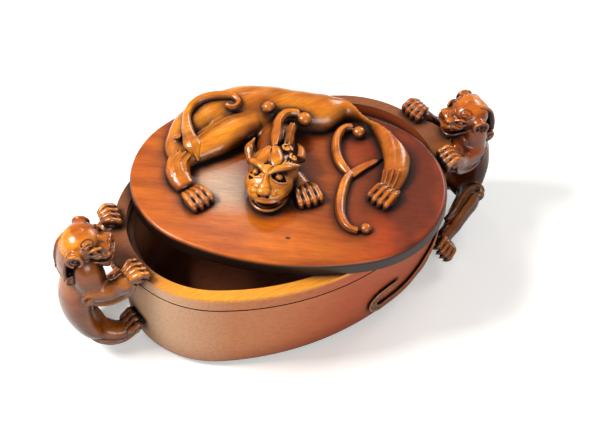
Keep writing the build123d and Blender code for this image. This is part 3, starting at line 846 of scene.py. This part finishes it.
def carve_handle_body():
    """Neck, chest and belly in one arch, with shoulders and four legs that grow out of it."""
    masses = [upright_limb(TRUNK, TRUNK_GIRTH, around=28)]
    details = []
    for side in (-1, 1):
        masses.append(egg(at(16.2, 5.4 * side, 48.0), (7.0, 6.6, 12.0), (6 * side, -6, 0)))
        masses.append(egg(at(15.6, 8.4 * side, 42.4), (5.8, 5.2, 5.6)))
        course, ridge, _ = foreleg_course(side)
        masses.append(limb(course, [(5.2, 5.6), (4.2, 5.0), (3.7, 4.6), (4.6, 4.6), (4.2, 3.4)], around=16))
        blade = [(x, y - 0.6 * side, z + 2.0) for x, y, z in ridge[1:-1]]
        masses.append(limb(blade, [(1.2, 2.2), (1.2, 2.4), (1.2, 2.0)], around=12))
        keel = [(x, y + 0.7 * side, z - 0.6) for x, y, z in ridge]
        details.append(thread(keel, 1.05, 0.8))
        elbow = at(19.6, 11.4 * side, 40.6)
        details += curl(elbow, 3.1, 0.85, 1.2, tilt=(-90 * side, 0, 28 * side), start=1.0)
    chest = at_each((15, 2, 50), (9.5, 5.0, 46.8), (3.5, 11.5, 48))
    masses.append(limb(chest, [(4.2, 5.6), (3.8, 5.0), (3.0, 3.8)], around=16))
    near = at_each((15, -4.3, 11), (8, -8.1, 9.5), (2.0, -9.5, 11.4))
    masses.append(limb(near, [(5.4, 4.8), (4.7, 4.2), (4.4, 3.8)], around=16))
    near_ridge = at_each(
        (20.5, -6.0, 11.0), (16.6, -9.4, 8.2), (9.0, -12.2, 7.0), (3.0, -13.0, 9.6), (0.6, -14.0, 13.5),
    )
    details.append(thread(near_ridge, 1.05, 0.8))
    far = at_each(
        (17.5, 6.4, 14), (14.5, 11, 13), (7.5, 14.8, 10.5),
        (0.5, 18.9, 8), (-6.5, 22.4, 7.5), (-9.5, 24.6, 7.5),
    )
    far_girth = [(5.4, 5.6), (5.6, 6.2), (5.0, 5.6), (4.3, 4.6), (3.6, 3.8), (3.6, 3.4)]
    masses.append(limb(far, far_girth, around=20))
    body = fuse("body_block", masses, 0.7, 9)
    groove = at_each(
        (-2.6, 19.2, 11.8), (2.3, 18.2, 14.4), (8.9, 15.4, 17.2), (14.9, 13.2, 18.8), (19.0, 13.0, 17.0),
    )
    cut_away(body, [thread(groove, 1.3, 1.2)])
    far_ridge = at_each(
        (-1.6, 16.0, 10.6), (3.0, 16.0, 15.0), (7.9, 13.4, 17.0), (12.0, 11.2, 18.8), (16.8, 10.4, 19.0),
        (20.0, 11.2, 18.0), (20.9, 12.8, 16.0), (19.6, 14.0, 14.2),
    )
    details += [thread(far_ridge, 1.2, 1.1), egg(at(18.6, 13.4, 14.6), (2.6, 2.4, 3.0))]
    spine = at_each((20.4, 3.0, 54.5), (24.6, 2.0, 44.0), (27.2, 0.6, 34.0), (26.2, 0, 23.0), (21.0, 0, 12.6))
    details.append(limb(spine, [(0.9, 1.1), (1.5, 1.2), (1.0, 1.0)], around=10))
    return fuse("left_beast_body_carving", [body] + details, 0.34, 2)


def carve_handle_paws(paw):
    """Two forepaws on the rim and two hind paws set against the wall."""
    paws = []
    for side in (-1, 1):
        paws.append(paw_at(paw, foreleg_course(side)[2], -8 * side, 10, reach=0.76))
    paws.append(paw_at(paw, at(0.6, -9.5, 10), 0, -52, reach=0.84))
    paws.append(paw_at(paw, at(-10.5, 25.5, 7.5), 42, 6, -55, reach=0.84))
    return fuse("left_beast_paws_carving", paws, 0.25, 1)


def oval_reach(x, half_length, half_width, end_radius):
    """Half width of a four-arc oval at a place along it."""
    end_x = half_length - end_radius
    radius = (end_x**2 + half_width**2 - end_radius**2) / (2 * (half_width - end_radius))
    join_x = end_x * radius / math.hypot(end_x, radius - half_width)
    if abs(x) <= join_x:
        return math.sqrt(radius**2 - x**2) - radius + half_width
    return math.sqrt(max(end_radius**2 - (abs(x) - end_x) ** 2, 0))


def on_wall(along, up, out):
    """Point on the bowl's far wall, left of its middle: share of half length, height, how far proud."""
    share = up / BAND_HEIGHT
    half_length, half_width, end_radius = [
        low + (high - low) * share for low, high in zip(FOOT_OVAL, BAND_OVAL)
    ]
    x = along * half_length
    return (-x, oval_reach(x, half_length, half_width, end_radius) + out, up)


def carve_handle_tail():
    """Narrow tail laid along the wall, down and back up in a hook, with a rim along each side."""
    hook_along, hook_up, hook_radius = 0.31, 13.75, 5.6
    whole = [(0.90, 22.0), (0.80, 18.5), (0.70, 14.2), (0.60, 10.5), (0.49, 8.5)]
    for step in range(8):
        turn = math.radians(-75 - 28 * step)
        along = hook_along + hook_radius * math.cos(turn) / BOWL_END
        whole.append((along, hook_up + hook_radius * math.sin(turn)))
    whole += [(0.37, 19.4), (0.43, 20.0)]
    parts = []
    for start, end in zip(whole, whole[1:]):
        link = [on_wall(*start, 0.2), on_wall(*end, 0.2)]
        parts.append(limb(link, [(1.1, 1.5), (1.1, 1.5)], around=10))
    for side in (-1, 1):
        rim = []
        for i, (along, up) in enumerate(whole):
            before, after = whole[max(i - 1, 0)], whole[min(i + 1, len(whole) - 1)]
            way = Vector(((after[0] - before[0]) * BOWL_END, after[1] - before[1])).normalized()
            ease = 1.7 if i < len(whole) - 1 else 0.3
            rim.append(on_wall(along - side * ease * way.y / BOWL_END, up + side * ease * way.x, 1.1))
        parts.append(thread(rim, 0.65, 0.5, upright=False))
    return fuse("left_beast_tail_carving", parts, 0.3, 1)


def striped_brows(on_dome):
    """Strokes to cut into the skull: an oval round each brow, and three short arcs in it."""
    brow_round, brow_up = 54, 38
    strokes = []
    for side in (-1, 1):
        oval = []
        for step in range(10):
            angle = 0.66 * step
            oval.append(on_dome(side, brow_round + 23 * math.cos(angle), brow_up + 16 * math.sin(angle)))
        strokes.append(thread(oval, 0.55, 0.55, upright=False))
        for stripe in range(3):
            rise = 26 + 9.6 * stripe
            half = 13 - 2.4 * abs(stripe - 1)
            arc = [(brow_round - half, rise - 2), (brow_round, rise + 3), (brow_round + half, rise - 2)]
            strokes.append(thread([on_dome(side, *place) for place in arc], 0.42))
    return strokes


def carve_handle_head(drop=0.0, turn=0.0, swing=30):
    """Domed head with a square snout, wide-open mouth, striped brows and round ears, swung to one side."""
    dome_out, dome_up = 15.5, 64.4
    dome_length, dome_width, dome_height = 8.4, 9.0, 8.2
    squash = 0.83

    def head_at(out, across, up):
        return at(out, turn + across, up - drop)

    def line(*places):
        return [head_at(*place) for place in places]

    def on_dome(side, round_side, up_side):
        """Point on the skull, in degrees round from the snout and up."""
        swung, raised = math.radians(round_side), math.radians(up_side)
        flat = math.cos(raised)
        out = dome_out - dome_length * flat * math.cos(swung)
        across = dome_width * side * flat * math.sin(swung)
        return head_at(out, across, dome_up + dome_height * math.sin(raised))

    masses = [
        egg(head_at(dome_out, 0, dome_up), (dome_length, dome_width, dome_height)),
        block(head_at(8.4, 0, 63.0), (5.2, 4.7, 3.0)),
        block(head_at(9.6, 0, 54.0), (5.6, 4.6, 1.9), (0, 7, 0)),
        egg(head_at(16.5, 0, 58.0), (6.4, 7.2, 6.2)),
        egg(head_at(6.0, 0, 65.2), (3.0, 2.6, 2.0)),
    ]
    cuts = [block(head_at(6.2, 0, 58.0), (7.0, 6.4, 1.8), (0, 4, 0))]
    for side in (-1, 1):
        masses.append(egg(head_at(16.8, 8.8 * side, 64.2), (3.4, 2.3, 3.9)))
        masses.append(egg(head_at(8.6, 5.2 * side, 61.4), (2.8, 1.9, 2.1)))
        masses.append(egg(head_at(4.6, 3.6 * side, 61.4), (2.2, 2.0, 2.2)))
        cuts.append(egg(head_at(9.0, 6.4 * side, 65.0), (2.6, 2.1, 1.7), (0, 8, -20 * side)))
        cuts.append(egg(head_at(16.5, 11.3 * side, 63.6), (1.8, 2.1, 2.1)))
        cuts.append(egg(head_at(2.6, 1.7 * side, 64.0), (1.3, 0.8, 0.8)))
    skull = fuse("skull_block", masses, 0.4, 4)
    cut_away(skull, cuts)
    parts = [skull]
    bridge = line((12.2, 0, 69.4), (8.6, 0, 67.4), (4.8, 0, 65.6))
    parts += [limb(bridge, [(1.2, 1.2), (1.4, 1.4), (2.2, 1.8)])]
    lip = line((12.6, -5.6, 60.8), (8.6, -5.3, 60.0), (4.6, -4.6, 59.8), (3.0, -2.8, 60.0), (2.8, 0, 60.3))
    lip += line((3.0, 2.8, 60.0), (4.6, 4.6, 59.8), (8.6, 5.3, 60.0), (12.6, 5.6, 60.8))
    chin = line((13.4, -5.8, 57.6), (9.6, -4.9, 56.0), (5.6, -4.2, 55.2), (4.0, -2.4, 54.9), (3.8, 0, 54.8))
    chin += line((4.0, 2.4, 54.9), (5.6, 4.2, 55.2), (9.6, 4.9, 56.0), (13.4, 5.8, 57.6))
    parts += [thread(lip, 0.7), thread(chin, 0.75)]
    for side in (-1, 1):
        parts += [egg(head_at(9.3, 5.6 * side, 65.0), (1.6, 1.5, 1.4))]
        lid_above = line((12.0, 7.0 * side, 65.6), (9.6, 6.6 * side, 67.2), (6.6, 4.6 * side, 66.2))
        lid_below = line((12.0, 7.2 * side, 64.6), (9.2, 6.8 * side, 63.2), (6.8, 5.2 * side, 63.8))
        parts += [thread(lid_above, 0.85, 0.7), thread(lid_below, 0.6, 0.5)]
        ring = []
        for step in range(10):
            angle = math.radians(-80 + 36 * step)
            ring.append(head_at(16.8 + 3.0 * math.cos(angle), 10.7 * side, 63.9 + 3.5 * math.sin(angle)))
        parts.append(thread(ring, 0.95, 0.8, upright=False))
        for tuft in range(4):
            start = (11.0 + 0.5 * tuft, 5.8 * side, 61.6 - 1.2 * tuft)
            end = (14.6 + 0.3 * tuft, 7.4 * side, 60.4 - 1.7 * tuft)
            parts.append(thread(line(start, end), 0.55, 0.3))
    head = fuse("left_beast_head_carving", parts, 0.27, 1)
    cut_away(head, [fuse("strokes", striped_brows(on_dome), 0.17, 1)])
    x, y, z = head_at(dome_out, 0, 62)
    lay(head, place=(-x, -y, -z))
    return lay(head, place=(x, y, z), turn=(0, 0, -swing), size=(1, 1, squash))


def carve_handle_mane(drop=0.0, turn=0.0):
    """Lock down the back of the neck that rolls up at its end."""
    def line(*places):
        return [at(out, turn + across, up - drop) for out, across, up in places]

    course = line((17.6, 0, 68.8), (22.4, 0, 64.6), (24.7, 0, 58.0), (25.2, 0, 51.4))
    parts = [upright_limb(course, [(1.5, 4.6), (1.5, 5.0), (1.5, 5.0)])]
    for side in (-1, 1):
        rib = line(
            (17.8, 4.2 * side, 69.0),
            (23.0, 4.8 * side, 64.8),
            (25.6, 4.8 * side, 58.0),
            (26.0, 4.8 * side, 51.6),
        )
        parts.append(thread(rib, 0.8))
    parts.append(limb(line((23.6, -4.9, 49.4), (23.6, 4.9, 49.4)), [(3.1, 3.1), (3.1, 3.1)], around=20))
    for side in (-1, 1):
        roll_end = line((23.6, 5.5 * side, 49.4))[0]
        parts += curl(roll_end, 2.9, 0.7, 1.5, tilt=(-90 * side, 0, 0), start=1.2)
    return fuse("left_beast_mane_carving", parts, 0.3, 1)


def turned_half(piece, part):
    """Turn a carving of the left beast half round, for the right one."""
    lay(piece, turn=(0, 0, 180))
    piece.name = piece.data.name = f"right_beast_{part}_carving"
    return piece


def carve_handles(paw):
    """Both handle beasts: the right one is the left one turned half round, with its head held otherwise."""
    legs = ("trunk", "near_foreleg", "far_foreleg", "near_hind_leg", "far_hind_leg")
    shared = {"body": carve_handle_body(), "paws": carve_handle_paws(paw), "tail": carve_handle_tail()}
    covers = {"body": legs, "paws": (), "tail": ("tail",)}
    for part, piece in shared.items():
        other = turned_half(copy_of(piece), part)
        finish_beast(piece, "bowl", *[f"left_beast_{name}" for name in covers[part]])
        finish_beast(other, "bowl", *[f"right_beast_{name}" for name in covers[part]])
    finish_beast(carve_handle_head(), "bowl", "left_beast_head")
    finish_beast(carve_handle_mane(), "bowl", "left_beast_mane")
    lower_head = carve_handle_head(drop=3.8, turn=2.5, swing=14)
    lower_mane = carve_handle_mane(drop=3.0, turn=2.5)
    finish_beast(turned_half(lower_head, "head"), "bowl", "right_beast_head")
    finish_beast(turned_half(lower_mane, "mane"), "bowl", "right_beast_mane")


def carve_lid(paw):
    """The beast that lies round the lid."""
    body, paws = carve_lid_body(paw)
    legs = ("lid_beast_left_foreleg", "lid_beast_right_foreleg", "lid_beast_hind_leg")
    finish_beast(body, "lid", "lid_beast_torso", *legs)
    finish_beast(paws, "lid")
    finish_beast(carve_lid_head(), "lid", "lid_beast_head")
    finish_beast(carve_lid_tail(), "lid", "lid_beast_tail")
    finish_beast(carve_lid_mane(), "lid", "lid_beast_mane")
    finish_beast(carve_lid_flame(), "lid", "lid_beast_flame_lock")
    finish_beast(carve_lid_button(), "lid", "lid_beast_bead")


# Carve and finish

paw = model_paw()
carve_handles(paw)
carve_lid(paw)
bpy.data.objects.remove(paw)


# Camera, floor and lamps

def set_camera():
    """The photograph's viewpoint: high, from the near left."""
    azimuth, elevation, roll = -29.98, 48.23, 0.60
    turn = (
        Matrix.Rotation(math.radians(azimuth), 4, "Z")
        @ Matrix.Rotation(math.radians(90 - elevation), 4, "X")
        @ Matrix.Rotation(math.radians(roll), 4, "Z")
    )
    data = bpy.data.cameras.new("camera")
    data.lens = 82.26
    data.sensor_width = 36.0
    data.clip_start = 0.01
    camera = bpy.data.objects.new("camera", data)
    camera.location = (-0.1949, -0.3576, 0.4912)
    camera.rotation_euler = turn.to_euler()
    bpy.context.scene.collection.objects.link(camera)
    bpy.context.scene.camera = camera


def softbox(name, place, aim, size, power, tint=(1, 1, 1)):
    lamp = bpy.data.lights.new(name, "AREA")
    lamp.shape = "RECTANGLE"
    lamp.size, lamp.size_y = size
    lamp.energy = power
    lamp.color = tint
    box = bpy.data.objects.new(name, lamp)
    box.location = place
    box.rotation_euler = (Vector(aim) - Vector(place)).to_track_quat("-Z", "Y").to_euler()
    bpy.context.scene.collection.objects.link(box)


def lay_floor():
    bpy.ops.object.select_all(action="DESELECT")
    bpy.ops.mesh.primitive_plane_add(size=4.0, location=(0, 0, -0.0002))
    floor = bpy.context.active_object
    floor.name = "floor"
    mat = bpy.data.materials.new("paper_sweep")
    mat.use_nodes = True
    tree = mat.node_tree
    paper = tree.nodes["Principled BSDF"]
    paper.inputs["Base Color"].default_value = (0.86, 0.85, 0.83, 1)
    paper.inputs["Roughness"].default_value = 0.9
    paper.inputs["Specular IOR Level"].default_value = 0.1
    seen = tree.nodes.new("ShaderNodeLightPath")
    glow = tree.nodes.new("ShaderNodeMath")
    glow.operation = "MULTIPLY"
    glow.inputs[1].default_value = 0.30
    tree.links.new(seen.outputs["Is Camera Ray"], glow.inputs[0])
    paper.inputs["Emission Color"].default_value = (1.0, 0.995, 0.985, 1)
    tree.links.new(glow.outputs["Value"], paper.inputs["Emission Strength"])
    floor.data.materials.append(mat)


def light_room():
    world = bpy.data.worlds.new("room")
    bpy.context.scene.world = world
    world.use_nodes = True
    tree = world.node_tree
    room = tree.nodes["Background"]
    room.inputs["Color"].default_value = (1.0, 0.985, 0.96, 1)
    room.inputs["Strength"].default_value = 0.22
    white = tree.nodes.new("ShaderNodeBackground")
    white.inputs["Strength"].default_value = 1.0
    seen = tree.nodes.new("ShaderNodeLightPath")
    pick = tree.nodes.new("ShaderNodeMixShader")
    tree.links.new(seen.outputs["Is Camera Ray"], pick.inputs[0])
    tree.links.new(room.outputs[0], pick.inputs[1])
    tree.links.new(white.outputs[0], pick.inputs[2])
    tree.links.new(pick.outputs[0], tree.nodes["World Output"].inputs["Surface"])
    softbox("key", (-0.55, 0.25, 0.75), (0, 0, 0.03), (0.3, 0.3), 10.5, (1.0, 0.97, 0.92))
    softbox("back", (0.80, 0.30, 0.50), (0, 0, 0.03), (0.4, 0.3), 3.6)
    softbox("glint", (0.241, 0.564, 0.714), (-0.02, 0, 0.05), (0.05, 0.05), 0.4)
    softbox("front", (-0.10, -0.80, 0.42), (0, 0, 0.02), (0.6, 0.3), 3.6)


set_camera()
lay_floor()
light_room()
bpy.context.scene.view_settings.view_transform = "Standard"
